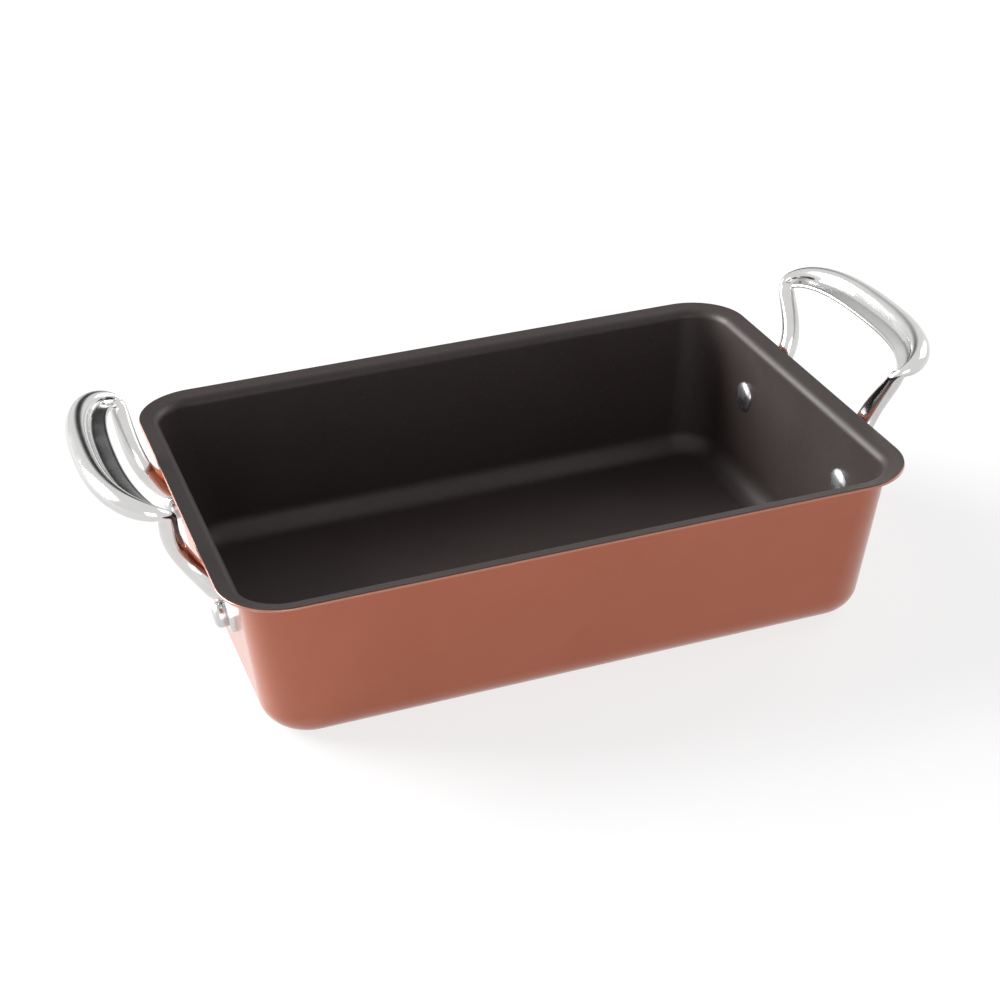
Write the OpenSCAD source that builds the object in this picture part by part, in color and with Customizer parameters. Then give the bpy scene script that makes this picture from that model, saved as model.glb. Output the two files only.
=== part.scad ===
// Baking dish: a drafted sheet pan with a bonded dark lining and two cast loop handles on rivets.
// +X runs along the pan's length, +Y away from the viewer, +Z up, origin at the middle of the base.

/* [Pan] */
// Length of the pan across the rim
rim_length = 350; // [300:1:420]
// Width of the pan across the rim
rim_width = 244; // [200:1:300]
// Height of the rim edge above the base
pan_height = 86; // [70:1:110]
// Thickness of the pan's sheet
sheet_thickness = 1.4; // [0.8:0.1:2.5]
// Lean of the walls from upright, in degrees
wall_draft = 6.5; // [2:0.5:12]
// Corner radius of the rim seen from above
rim_corner_radius = 31.5; // [26:0.5:45]
// Corner radius at the foot of the wall seen from above
wall_corner_radius = 25; // [20:0.5:40]
// Outside radius between the wall and the base
base_edge_radius = 15; // [8:0.5:20]

/* [Rim] */
// Width of the flat part of the rim
flange_width = 6.5; // [4:0.5:12]
// Rise of the rim toward its edge, in degrees
flange_rise = 12; // [0:1:25]
// Radius of the bend from the rim into the wall, upper side
rim_bend_radius = 5; // [3:0.5:8]

/* [Lining] */
// Thickness of the lining bonded to the inside
lining_thickness = 0.3; // [0.2:0.05:0.8]

/* [Grip bar] */
// Distance between the ends of the grip bar, measured along its crease
grip_span = 129; // [110:1:150]
// Reach of the crease beyond the rim edge at mid span
grip_reach = 33.6; // [26:0.2:45]
// Reach of the crease beyond the rim edge at the bar's ends
grip_end_reach = 13.5; // [9:0.1:18]
// Height of the crease above the rim edge at mid span
grip_height = 33.1; // [26:0.1:45]
// Drop of the crease from mid span to the bar's ends
grip_drop = 4.6; // [2:0.1:9]
// Radius of the outer bead at mid span
bead_radius = 5.6; // [4:0.1:8]
// Radius of the outer bead at the bar's ends
bead_end_radius = 2.4; // [1.6:0.1:5]
// Width of the flat band inside the crease at mid span
band_width = 8.4; // [5:0.1:12]
// Width of the flat band at the bar's ends
band_end_width = 4; // [3:0.1:8]
// Fall of the band from the crease to its free edge at mid span
band_fall = 0.9; // [0.2:0.1:3]
// Fall of the band from the crease to its free edge at the bar's ends
band_end_fall = 1.9; // [0.5:0.1:4]
// Thickness of the band at its free edge
band_thickness = 2.2; // [1.5:0.1:4]
// Length of the rounded tip at each end of the bar
tip_length = 3.4; // [2:0.1:7]

/* [Legs] */
// Distance between the tops of the two legs
leg_top_spacing = 128; // [100:1:150]
// Reach of the leg tops beyond the rim edge
leg_top_reach = 13.5; // [10:0.1:20]
// Height of the leg tops above the rim edge
leg_top_height = 26.4; // [18:0.2:36]
// Sideways pull of each leg toward the middle
leg_bow = 29.3; // [0:0.1:40]
// Width of a leg at its top
leg_top_width = 7.8; // [6:0.1:12]
// Width of a leg where it meets its foot
leg_base_width = 16; // [8:0.1:20]
// Depth of a leg at its top, square to the wall
leg_top_depth = 9; // [6:0.1:12]
// Depth of a leg where it meets its foot
leg_base_depth = 10.2; // [8:0.1:14]
// Height on the wall where the leg meets its foot, above the rivet
leg_landing = 12.5; // [6:0.1:16]

/* [Feet] */
// Diameter of the round pad under each rivet head
foot_diameter = 20; // [16:0.5:28]
// Thickness of the pad
foot_thickness = 3.2; // [2.4:0.1:7]

/* [Rivets] */
// Distance between the two rivets of a handle
rivet_spacing = 114.4; // [80:0.2:140]
// Drop of the rivets below the rim edge, on the outside of the wall
rivet_drop = 34.5; // [26:0.5:45]
// Diameter of the rivet shank
shank_diameter = 6; // [4:0.1:8]
// Gap between shank and hole all round
shank_clearance = 0.05; // [0.02:0.01:0.2]
// Diameter of the domed head inside the pan
inner_head_diameter = 17; // [12:0.5:20]
// Height of the domed head inside the pan
inner_head_height = 2.8; // [1.5:0.1:4]
// Diameter of the head outside
outer_head_diameter = 12.8; // [9:0.1:16]
// Height of the head outside
outer_head_height = 6; // [2:0.1:8]
// Gap all round the outside head where the leg is cut back for it
head_clearance = 0.4; // [0.2:0.05:1]

/* [Hidden] */

// Facets along each rounded stretch
corner_steps = 10;
bend_steps = 6;
fillet_steps = 8;
bar_steps = 28;
tip_steps = 4;
bead_steps = 12;
leg_steps = 18;
leg_sides = 18;
leg_dome_steps = 3;
leg_nose_steps = 5;
dome_steps = 8;

// How far a cut runs past the faces it goes through
overrun = 1;

// Powers and angles that shape the curves of the casting and the rivet heads
bar_squareness = 2.4;
bar_drop_power = 1.5;
bead_taper_power = 2.4;
leg_back_power = 2.2;
leg_flare_power = 1.6;
crown_power = 0.5;
bead_start_angle = 172;
bead_stop_angle = -122;
tip_sweep = 80;
leg_dome_sweep = 78;
leg_nose_sweep = 80;
small_angle = 0.5;

// Places along and across the pieces, as shares of the size that carries each
bead_out_share = 1.24;
bead_end_out_share = 0.7;
bead_up_share = 0.09;
band_dip_share = 0.7;
band_edge_share = 0.5;
leg_dome_share = 0.42;
leg_upper_reach_share = 0.91;
leg_lower_reach_share = 0.817;
leg_height_share = 1 / 3;
leg_stand_share = 0.214;
head_rim_share = 0.4;
neck_share = 0.56;
leg_start_share = 0.015;
leg_turn_share = 0.3;
leg_nose_share = 0.958;
leg_stop_share = 1.05;

pan_colour = [0.68, 0.41, 0.32];
lining_colour = [0.2, 0.18, 0.18];
cast_colour = [0.8, 0.8, 0.8];
rivet_colour = [0.72, 0.72, 0.73];

// Rim and wall section: each point is the inset from the rim edge and the height above the base
flange_foot = [flange_width * cos(flange_rise), pan_height - flange_width * sin(flange_rise)];
bend_centre = flange_foot - rim_bend_radius * [sin(flange_rise), cos(flange_rise)];
wall_top = bend_centre + rim_bend_radius * [cos(wall_draft), sin(wall_draft)];
inner_fillet = base_edge_radius - sheet_thickness;
wall_foot_height = base_edge_radius - inner_fillet * sin(wall_draft);
wall_foot_inset = wall_top[0] + (wall_top[1] - wall_foot_height) * tan(wall_draft);
fillet_centre = [wall_foot_inset + inner_fillet * cos(wall_draft), base_edge_radius];
foot_corner_inset = wall_foot_inset - sheet_thickness * cos(wall_draft) + wall_corner_radius;

// Place of a rivet on the outside face of an end wall
rivet_height = pan_height - rivet_drop;
rivet_inset = wall_top[0] - sheet_thickness * cos(wall_draft)
    + (wall_top[1] - rivet_height - sheet_thickness * sin(wall_draft)) * tan(wall_draft);
rivet_x = rim_length / 2 - rivet_inset;

function blend(a, b, k) = a + (b - a) * k;
function sign_power(v, p) = sign(v) * pow(abs(v), p);

// Section points with the direction that points out through the sheet and the corner inset
function rim_section() = concat(
    [[[0, pan_height], -[sin(flange_rise), cos(flange_rise)], rim_corner_radius]],
    [for (i = [0:bend_steps])
        let (a = blend(flange_rise, 90 - wall_draft, i / bend_steps))
        [bend_centre + rim_bend_radius * [sin(a), cos(a)], -[sin(a), cos(a)], rim_corner_radius]],
    [for (i = [0:fillet_steps])
        let (a = blend(wall_draft, 90, i / fillet_steps))
        [fillet_centre - inner_fillet * [cos(a), sin(a)], -[cos(a), sin(a)], foot_corner_inset]]);

// One rounded rectangle of the pan, offset through the sheet by the given distance
function pan_ring(entry, offset) =
    let (p = entry[0] + offset * entry[1], cc = entry[2])
    [for (q = [0:3])
        for (i = [0:corner_steps])
            let (a = 90 * (q + i / corner_steps),
                 sx = (q == 0 || q == 3) ? 1 : -1,
                 sy = q < 2 ? 1 : -1)
            [sx * (rim_length / 2 - cc) + (cc - p[0]) * cos(a),
             sy * (rim_width / 2 - cc) + (cc - p[0]) * sin(a),
             p[1]]];

// A skin between two offsets: up the under side, over the rim edge and down the upper side
function pan_rings(under, upper) =
    let (s = rim_section(), m = len(s) - 1)
    concat([for (i = [0:m]) pan_ring(s[m - i], under)],
           [for (i = [0:m]) pan_ring(s[i], upper)]);

// A closed body through a row of rings that all have the same number of points
module loft(rings) {
    n = len(rings[0]);
    last = len(rings) - 1;
    points = [for (r = rings) for (p = r) p];
    walls = [for (i = [0:last - 1])
        for (j = [0:n - 1])
            let (k = (j + 1) % n, a = i * n, b = (i + 1) * n)
            each [[a + j, b + j, b + k], [a + j, b + k, a + k]]];
    caps = [[for (j = [0:n - 1]) j], [for (j = [0:n - 1]) last * n + n - 1 - j]];
    polyhedron(points = points, faces = concat(caps, walls), convexity = 6);
}

// Crease of the grip bar, from -90 to 90 degrees along the bar
function crease(a) = [
    rim_length / 2 + grip_end_reach + (grip_reach - grip_end_reach) * cos(a),
    grip_span / 2 * sign_power(sin(a), 2 / bar_squareness),
    pan_height + grip_height - grip_drop * pow(1 - cos(a), bar_drop_power)];

// Level direction square to the bar, pointing away from the finger gap
function bar_out(a) =
    let (c = sign(a) * min(abs(a), 90 - 2 * small_angle),
         t = crease(c + small_angle) - crease(c - small_angle),
         n = [t[1], -t[0], 0])
    n / norm(n);

// Half section of the bar around its crease: bead first, then the underside and the band
function bar_section(k) =
    let (r = blend(bead_radius, bead_end_radius, pow(k, bead_taper_power)),
         w = blend(band_width, band_end_width, k),
         drop = blend(band_fall, band_end_fall, k),
         low = drop + band_thickness,
         centre = r * [blend(bead_out_share, bead_end_out_share, k), bead_up_share])
    concat([for (i = [0:bead_steps])
                let (a = blend(bead_start_angle, bead_stop_angle, i / bead_steps))
                centre + r * [cos(a), sin(a)]],
           [[-w * band_edge_share, -low],
            [band_edge_share * band_thickness - w, -low],
            [-w, -(drop + low) / 2],
            [band_edge_share * band_edge_share * band_thickness - w, -drop],
            [-w * band_edge_share, -drop * band_dip_share],
            [0, 0]]);

function bar_ring(a, k, slide, size) =
    let (c = crease(a),
         out = bar_out(a),
         run = crease(90 - small_angle) - crease(90),
         along = [run[0], 0, run[2]] / norm([run[0], run[2]]),
         s = bar_section(k),
         m = (s[0] + s[bead_steps + 2]) / 2)
    [for (p = s)
        let (q = m + (p - m) * size)
        c + out * q[0] - along * slide + [0, 0, q[1]]];

// The grip bar with its rounded tips
module grip_bar() {
    angles = [for (i = [0:bar_steps]) blend(-90, 90, i / bar_steps)];
    tips = [for (i = [1:tip_steps]) tip_sweep * i / tip_steps];
    rear = [for (a = tips) bar_ring(90, 1, tip_length * sin(a), cos(a))];
    front = [for (i = [1:tip_steps])
        let (a = tips[tip_steps - i])
        bar_ring(-90, 1, tip_length * sin(a), cos(a))];
    loft(concat(front, [for (a = angles) bar_ring(a, 1 - cos(a), 0, 1)], rear));
}

// Control points of a leg's centre line, from under the bar down to the wall
leg_base = [rivet_x + leg_landing * tan(wall_draft) + leg_base_width * leg_stand_share,
            rivet_spacing / 2,
            rivet_height + leg_landing];
leg_top = [rim_length / 2 + leg_top_reach, leg_top_spacing / 2, pan_height + leg_top_height];
leg_points = [
    leg_top,
    [rim_length / 2 + leg_top_reach * leg_upper_reach_share,
     leg_top[1] - leg_bow * leg_height_share,
     blend(leg_top[2], leg_base[2], leg_height_share)],
    [rim_length / 2 + leg_top_reach * leg_lower_reach_share,
     leg_top[1] - leg_bow,
     blend(leg_top[2], leg_base[2], 2 * leg_height_share)],
    leg_base];

function curve(p, t) =
    pow(1 - t, 3) * p[0] + 3 * t * pow(1 - t, 2) * p[1] + 3 * t * t * (1 - t) * p[2] + pow(t, 3) * p[3];
function slope(p, t) =
    pow(1 - t, 2) * (p[1] - p[0]) + 2 * t * (1 - t) * (p[2] - p[1]) + t * t * (p[3] - p[2]);

// A leg ring: round toward the outside, flatter toward the pan
function leg_ring(t) =
    let (d = slope(leg_points, t),
         lean = min(1, t / leg_turn_share),
         v = blend([0, 0, -norm(d)], d, lean),
         run = v / norm(v),
         side = [1, 0, 0] - run[0] * run,
         out = side / norm(side),
         across = cross(run, out),
         w = blend(leg_top_width, leg_base_width, pow(t, leg_flare_power)) / 2,
         depth = blend(leg_top_depth, leg_base_depth, t) / 2)
    [for (i = [0:leg_sides - 1])
        let (a = 360 * i / leg_sides,
             p = cos(a) < 0 ? 2 / leg_back_power : 1)
        curve(leg_points, t) + out * depth * sign_power(cos(a), p)
            + across * w * sign_power(sin(a), p)];

// A ring of the domed top that closes the corner between the bar and a leg
function dome_ring(a) =
    let (middle = curve(leg_points, leg_start_share))
    [for (p = leg_ring(leg_start_share))
        middle + (p - middle) * cos(a) + [0, 0, leg_top_depth * leg_dome_share * sin(a)]];

// A ring of the rounded end that rests on the foot
function nose_ring(a) =
    let (t = blend(leg_nose_share, leg_stop_share, sin(a)),
         middle = curve(leg_points, t))
    [for (p = leg_ring(t)) middle + (p - middle) * cos(a)];

module leg() {
    dome = [for (i = [leg_dome_steps:-1:1]) dome_ring(leg_dome_sweep * i / leg_dome_steps)];
    shares = [for (i = [0:leg_steps]) blend(leg_start_share, leg_nose_share, i / leg_steps)];
    nose = [for (i = [1:leg_nose_steps]) nose_ring(leg_nose_sweep * i / leg_nose_steps)];
    loft(concat(dome, [for (t = shares) leg_ring(t)], nose));
}

// Puts its children on the right-hand wall at a rivet: local Z points out of the wall
module on_wall(y) {
    translate([rivet_x, y, rivet_height])
        rotate([0, 90 + wall_draft, 0])
            children();
}

module foot() {
    linear_extrude(foot_thickness)
        hull() {
            circle(d = foot_diameter, $fn = 32);
            translate([-leg_landing, 0])
                circle(d = foot_diameter * neck_share, $fn = 32);
        }
}

module bore() {
    skin = sheet_thickness + lining_thickness;
    depth = skin + foot_thickness + 2 * overrun;
    translate([0, 0, -skin - overrun])
        cylinder(d = shank_diameter + 2 * shank_clearance, h = depth, $fn = 48);
}

// Room for the outside head where a leg runs down over its pad
module head_room() {
    translate([0, 0, foot_thickness])
        cylinder(d = outer_head_diameter + 2 * head_clearance, h = leg_base_width, $fn = 48);
}

module both_sides() {
    for (s = [-1, 1])
        on_wall(s * rivet_spacing / 2)
            children();
}

module handle() {
    difference() {
        union() {
            grip_bar();
            leg();
            mirror([0, 1, 0])
                leg();
            both_sides()
                foot();
        }
        on_wall(0)
            translate([-pan_height / 2, -rim_width / 2, -pan_height])
                cube([pan_height, rim_width, pan_height]);
        both_sides() {
            bore();
            head_room();
        }
    }
}

module all_bores() {
    both_sides()
        bore();
    rotate([0, 0, 180])
        both_sides()
            bore();
}

module pan_shell() {
    color(pan_colour)
        difference() {
            loft(pan_rings(sheet_thickness, 0));
            all_bores();
        }
}

module nonstick_lining() {
    color(lining_colour)
        difference() {
            loft(pan_rings(0, -lining_thickness));
            all_bores();
        }
}

module handle_right() {
    color(cast_colour)
        handle();
}

module handle_left() {
    color(cast_colour)
        rotate([0, 0, 180])
            handle();
}

// One rivet: shank, domed head inside the pan and crowned head outside, drawn from the wall's face
module rivet() {
    inner_face = sheet_thickness + lining_thickness;
    shank_radius = shank_diameter / 2;
    outer_radius = outer_head_diameter / 2;
    rim_height = outer_head_height * head_rim_share;
    dome = [for (i = [0:dome_steps])
        let (a = 90 * i / dome_steps)
        [inner_head_diameter / 2 * sin(a), -inner_face - inner_head_height * cos(a)]];
    crown = [for (i = [0:dome_steps])
        let (a = 90 * i / dome_steps)
        [outer_radius * pow(cos(a), crown_power),
         foot_thickness + rim_height + (outer_head_height - rim_height) * sin(a)]];
    rotate_extrude($fn = 48)
        polygon(concat(dome,
            [[shank_radius, -inner_face], [shank_radius, foot_thickness], [outer_radius, foot_thickness]],
            crown));
}

module rivet_right_front() {
    color(rivet_colour)
        on_wall(-rivet_spacing / 2)
            rivet();
}

module rivet_right_rear() {
    color(rivet_colour)
        on_wall(rivet_spacing / 2)
            rivet();
}

module rivet_left_front() {
    color(rivet_colour)
        rotate([0, 0, 180])
            on_wall(rivet_spacing / 2)
                rivet();
}

module rivet_left_rear() {
    color(rivet_colour)
        rotate([0, 0, 180])
            on_wall(-rivet_spacing / 2)
                rivet();
}

pan_shell();
nonstick_lining();
handle_left();
handle_right();
rivet_left_front();
rivet_left_rear();
rivet_right_front();
rivet_right_rear();
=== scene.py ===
import math
import bmesh
import bpy
from mathutils import Matrix, Vector


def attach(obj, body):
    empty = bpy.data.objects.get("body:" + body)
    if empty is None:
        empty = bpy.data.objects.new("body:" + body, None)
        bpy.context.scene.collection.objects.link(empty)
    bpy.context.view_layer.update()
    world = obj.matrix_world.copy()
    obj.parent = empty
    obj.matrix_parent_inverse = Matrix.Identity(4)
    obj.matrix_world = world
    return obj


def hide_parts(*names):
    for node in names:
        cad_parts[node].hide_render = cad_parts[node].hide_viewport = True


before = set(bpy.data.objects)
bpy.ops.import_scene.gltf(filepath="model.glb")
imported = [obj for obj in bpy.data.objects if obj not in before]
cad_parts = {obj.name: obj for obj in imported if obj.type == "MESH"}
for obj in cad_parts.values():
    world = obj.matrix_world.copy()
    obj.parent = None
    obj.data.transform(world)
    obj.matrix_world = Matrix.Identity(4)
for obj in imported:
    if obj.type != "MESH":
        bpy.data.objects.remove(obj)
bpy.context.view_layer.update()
print("frame loaded:", len(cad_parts), "nodes")

# Sizes of the pieces are in millimetres and degrees, places in the scene in metres.
mm = 0.001


# camera at the photo's angle, in metres

cameraSetup = {
    "place": (-0.30371, -0.89913, 0.56832),
    "right": (0.93854, -0.34399, -0.02838),
    "up": (0.18894, 0.44319, 0.87629),
    "lens": 74.23,
    "sensor": 36,
    "shiftX": -0.0301,
    "clipStart": 0.01,
}


def makeCamera():
    data = bpy.data.cameras.new("photoCamera")
    data.lens = cameraSetup["lens"]
    data.sensor_width = cameraSetup["sensor"]
    data.shift_x = cameraSetup["shiftX"]
    data.clip_start = cameraSetup["clipStart"]
    camera = bpy.data.objects.new("photoCamera", data)
    right = Vector(cameraSetup["right"]).normalized()
    back = right.cross(Vector(cameraSetup["up"])).normalized()
    up = back.cross(right)
    turn = Matrix((right, up, back)).transposed().to_4x4()
    camera.matrix_world = Matrix.Translation(cameraSetup["place"]) @ turn
    bpy.context.scene.collection.objects.link(camera)
    bpy.context.scene.camera = camera
    print("camera ready")


makeCamera()


# small helpers for angles, blends and meshes

def cosD(angle):
    return math.cos(math.radians(angle))


def sinD(angle):
    return math.sin(math.radians(angle))


def tanD(angle):
    return math.tan(math.radians(angle))


def blend(a, b, k):
    return a + (b - a) * k


def signPower(value, power):
    return math.copysign(abs(value) ** power, value)


def steps(start, stop, count):
    return [blend(start, stop, i / count) for i in range(count + 1)]


# a closed body through rings that all have the same number of points, in millimetres
def loftMesh(name, rings):
    count = len(rings[0])
    points = [Vector(p) * mm for ring in rings for p in ring]
    faces = []
    for i in range(len(rings) - 1):
        for j in range(count):
            k = (j + 1) % count
            faces.append((i * count + j, i * count + k, (i + 1) * count + k, (i + 1) * count + j))
    faces.append(tuple(reversed(range(count))))
    faces.append(tuple((len(rings) - 1) * count + j for j in range(count)))
    mesh = bpy.data.meshes.new(name)
    mesh.from_pydata(points, [], faces)
    work = bmesh.new()
    work.from_mesh(mesh)
    bmesh.ops.recalc_face_normals(work, faces=work.faces)
    work.to_mesh(mesh)
    work.free()
    return mesh


def rectangle(halfX, halfY):
    return [(-halfX, -halfY), (halfX, -halfY), (halfX, halfY), (-halfX, halfY)]


def addObject(name, mesh, place=None):
    made = bpy.data.objects.new(name, mesh)
    if place is not None:
        made.matrix_world = place
    bpy.context.scene.collection.objects.link(made)
    return made


# smooth faces with a hard edge wherever two faces meet at more than the angle
def smoothMesh(mesh, angle):
    mesh.shade_smooth()
    mesh.set_sharp_from_angle(angle=math.radians(angle))


# rounds the creases of a mesh about some points, most at the points themselves
def softenNear(mesh, centres, reach, passes, factor):
    work = bmesh.new()
    work.from_mesh(mesh)
    for i in range(passes):
        size = reach * mm * (1 - i / (2 * passes))
        near = [v for v in work.verts if min((v.co - c * mm).length for c in centres) < size]
        bmesh.ops.smooth_vert(
            work, verts=near, factor=factor, use_axis_x=True, use_axis_y=True, use_axis_z=True)
    work.to_mesh(mesh)
    work.free()


# joins or cuts the first object by the others and removes them
def carve(target, others, operation):
    for other in others:
        step = target.modifiers.new("carve", "BOOLEAN")
        step.object = other
        step.operation = operation
        step.solver = "EXACT"
    graph = bpy.context.evaluated_depsgraph_get()
    result = bpy.data.meshes.new_from_object(target.evaluated_get(graph))
    result.name = target.data.name
    old = target.data
    target.modifiers.clear()
    target.data = result
    bpy.data.meshes.remove(old)
    for other in others:
        mesh = other.data
        bpy.data.objects.remove(other)
        bpy.data.meshes.remove(mesh)
    return target


# a boolean leaves points almost on each other: those closer than the gap are joined
def dropLoosePoints(mesh, gap):
    work = bmesh.new()
    work.from_mesh(mesh)
    bmesh.ops.remove_doubles(work, verts=work.verts, dist=gap * mm)
    bmesh.ops.dissolve_degenerate(work, edges=work.edges, dist=gap * mm / 2)
    work.to_mesh(mesh)
    work.free()


# the pan: rim, wall and base

pan = {
    "length": 350,
    "width": 244,
    "height": 86,
    "sheet": 1.4,
    "draft": 6.5,
    "rimCorner": 31.5,
    "wallCorner": 25,
    "baseRadius": 15,
    "flangeWidth": 6.5,
    "flangeRise": 12,
    "bendRadius": 5,
    "edgeRound": 0.5,
    "skinGap": 0.03,
    "cornerSteps": 22,
    "sideShares": (0.012, 0.25, 0.5, 0.75, 0.988),
    "bendSteps": 14,
    "filletSteps": 16,
    "wallShares": (0.015, 0.25, 0.5, 0.75, 0.985),
    "flangeShares": (0.12, 0.5, 0.9),
    "edgeSteps": 8,
    "floorShares": (0.06, 0.5),
    "sharpAngle": 40,
}

lining = {
    "thickness": 0.3,
    "edgeInset": 0.12,
    "edgeRound": 0.3,
}

flangeRun = Vector((cosD(pan["flangeRise"]), -sinD(pan["flangeRise"])))
flangeOut = -Vector((sinD(pan["flangeRise"]), cosD(pan["flangeRise"])))
flangeFoot = Vector((0, pan["height"])) + flangeRun * pan["flangeWidth"]
bendCentre = flangeFoot + flangeOut * pan["bendRadius"]
wallTop = bendCentre + Vector((cosD(pan["draft"]), sinD(pan["draft"]))) * pan["bendRadius"]
innerFillet = pan["baseRadius"] - pan["sheet"]
wallFootHeight = pan["baseRadius"] - innerFillet * sinD(pan["draft"])
wallFootInset = wallTop.x + (wallTop.y - wallFootHeight) * tanD(pan["draft"])
filletCentre = Vector((wallFootInset + innerFillet * cosD(pan["draft"]), pan["baseRadius"]))
footCorner = wallFootInset - pan["sheet"] * cosD(pan["draft"]) + pan["wallCorner"]


# section from the flange down to the base: point, way out through the sheet, corner inset
def panSection():
    rim = pan["rimCorner"]
    section = []
    for share in pan["flangeShares"]:
        section.append((blend(Vector((0, pan["height"])), flangeFoot, share), flangeOut, rim))
    for angle in steps(pan["flangeRise"], 90 - pan["draft"], pan["bendSteps"]):
        ray = Vector((sinD(angle), cosD(angle)))
        section.append((bendCentre + ray * pan["bendRadius"], -ray, rim))
    top = section[-1]
    wallOut = -Vector((cosD(pan["draft"]), sinD(pan["draft"])))
    foot = (filletCentre + wallOut * innerFillet, wallOut, footCorner)
    for share in pan["wallShares"]:
        section.append((blend(top[0], foot[0], share), wallOut, blend(rim, footCorner, share)))
    for angle in steps(pan["draft"], 90, pan["filletSteps"]):
        ray = Vector((cosD(angle), sinD(angle)))
        section.append((filletCentre - ray * innerFillet, -ray, footCorner))
    return section


# one rounded rectangle at an inset from the rim edge, with extra columns along the sides
def panRing(inset, height, corner):
    ring = []
    halfX = pan["length"] / 2
    halfY = pan["width"] / 2
    radius = corner - inset
    for quarter in range(4):
        sx = 1 if quarter in (0, 3) else -1
        sy = 1 if quarter < 2 else -1
        for angle in steps(90 * quarter, 90 * quarter + 90, pan["cornerSteps"]):
            x = sx * (halfX - corner) + radius * cosD(angle)
            y = sy * (halfY - corner) + radius * sinD(angle)
            ring.append(Vector((x, y, height)))
    columns = pan["cornerSteps"] + 1
    full = []
    for quarter in range(4):
        full += ring[quarter * columns:(quarter + 1) * columns]
        last = full[-1]
        after = ring[((quarter + 1) % 4) * columns]
        full += [last.lerp(after, share) for share in pan["sideShares"]]
    return full


# rounded free edge of a skin between two offsets through the sheet
def edgeRings(under, upper, start, size):
    rings = []
    middle = (under + upper) / 2
    half = (under - upper) / 2
    for angle in steps(0, 180, pan["edgeSteps"]):
        along = start + size * (1 - sinD(angle))
        point = Vector((0, pan["height"])) + flangeRun * along
        point += flangeOut * (middle + half * cosD(angle))
        rings.append(panRing(point.x, point.y, pan["rimCorner"]))
    return rings


# flat middle of the base or the floor: the last ring drawn in toward the centre
def floorRings(inset, height):
    rings = []
    reach = pan["width"] / 2 - inset
    for share in pan["floorShares"]:
        ring = panRing(inset, height, footCorner)
        scale = Vector((1 - share * reach / (pan["length"] / 2 - inset), 1 - share, 1))
        rings.append([Vector((p.x * scale.x, p.y * scale.y, p.z)) for p in ring])
    return rings


# a skin between two offsets through the sheet, closed by its edge at the rim
def skinMesh(name, under, upper, start, size):
    section = panSection()
    down = [(p + out * upper, corner) for p, out, corner in section]
    up = [(p + out * under, corner) for p, out, corner in reversed(section)]
    rings = list(reversed(floorRings(up[0][0].x, up[0][0].y)))
    rings += [panRing(p.x, p.y, corner) for p, corner in up]
    rings += edgeRings(under, upper, start, size)
    rings += [panRing(p.x, p.y, corner) for p, corner in down]
    rings += floorRings(down[-1][0].x, down[-1][0].y)
    return loftMesh(name, rings)


# rivets, and their places on the end walls

rivets = {
    "spacing": 114.4,
    "drop": 34.5,
    "shank": 6,
    "clearance": 0.05,
    "innerHead": 17,
    "innerHeight": 2.8,
    "outerHead": 12.8,
    "outerHeight": 6,
    "outerRim": 0.4,
    "crownPower": 0.5,
    "headClearance": 0.4,
    "domeSteps": 20,
    "innerCrown": 0.92,
    "innerSeat": 0.985,
    "outerSeat": 0.97,
    "outerFoot": 0.2,
    "cellShare": 0.75,
    "cellGap": 0.001,
    "sharpAngle": 40,
    "sides": 64,
}

rivetHeight = pan["height"] - rivets["drop"]
outerTop = wallTop - Vector((cosD(pan["draft"]), sinD(pan["draft"]))) * pan["sheet"]
rivetX = pan["length"] / 2 - outerTop.x - (outerTop.y - rivetHeight) * tanD(pan["draft"])
skin = pan["sheet"] + lining["thickness"]


# local Z points out of the right-hand wall, local X down it
def onWall(y, turned=False):
    place = Matrix.Translation(Vector((rivetX, y, rivetHeight)) * mm)
    place = place @ Matrix.Rotation(math.radians(90 + pan["draft"]), 4, "Y")
    if turned:
        return Matrix.Rotation(math.pi, 4, "Z") @ place
    return place


rivetPlaces = {
    "rivet_right_front": onWall(-rivets["spacing"] / 2),
    "rivet_right_rear": onWall(rivets["spacing"] / 2),
    "rivet_left_front": onWall(rivets["spacing"] / 2, True),
    "rivet_left_rear": onWall(-rivets["spacing"] / 2, True),
}


# a turned body about local Z from (radius, height) pairs, first and last on the axis
def latheMesh(name, profile, sides):
    points = [Vector((0, 0, profile[0][1])) * mm]
    for radius, height in profile[1:-1]:
        for j in range(sides):
            angle = 360 * j / sides
            points.append(Vector((radius * cosD(angle), radius * sinD(angle), height)) * mm)
    points.append(Vector((0, 0, profile[-1][1])) * mm)
    rows = len(profile) - 2
    last = len(points) - 1
    faces = []
    for j in range(sides):
        k = (j + 1) % sides
        faces.append((0, 1 + k, 1 + j))
        for i in range(rows - 1):
            a = 1 + i * sides
            b = a + sides
            faces.append((a + j, a + k, b + k, b + j))
        end = 1 + (rows - 1) * sides
        faces.append((end + j, end + k, last))
    mesh = bpy.data.meshes.new(name)
    mesh.from_pydata(points, [], faces)
    return mesh


def boreCutter(place, radius, low, high):
    profile = [(0, low), (radius, low), (radius, high), (0, high)]
    return addObject("cutter", latheMesh("cutter", profile, rivets["sides"]), place)


# small cells round each bore, so that its sharp edge doesn't tint the wall beyond the head
def splitAtBores(mesh):
    reach = rivets["shank"] * rivets["cellShare"]
    planes = []
    for side in (-rivets["spacing"] / 2, rivets["spacing"] / 2):
        planes += [(Vector((0, side + gap, 0)), Vector((0, 1, 0))) for gap in (-reach, reach)]
    planes += [(Vector((0, 0, rivetHeight + gap)), Vector((0, 0, 1))) for gap in (-reach, reach)]
    work = bmesh.new()
    work.from_mesh(mesh)
    for place, normal in planes:
        parts = work.verts[:] + work.edges[:] + work.faces[:]
        bmesh.ops.bisect_plane(
            work, geom=parts, dist=rivets["cellGap"] * mm, plane_co=place * mm, plane_no=normal)
    work.to_mesh(mesh)
    work.free()


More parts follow.
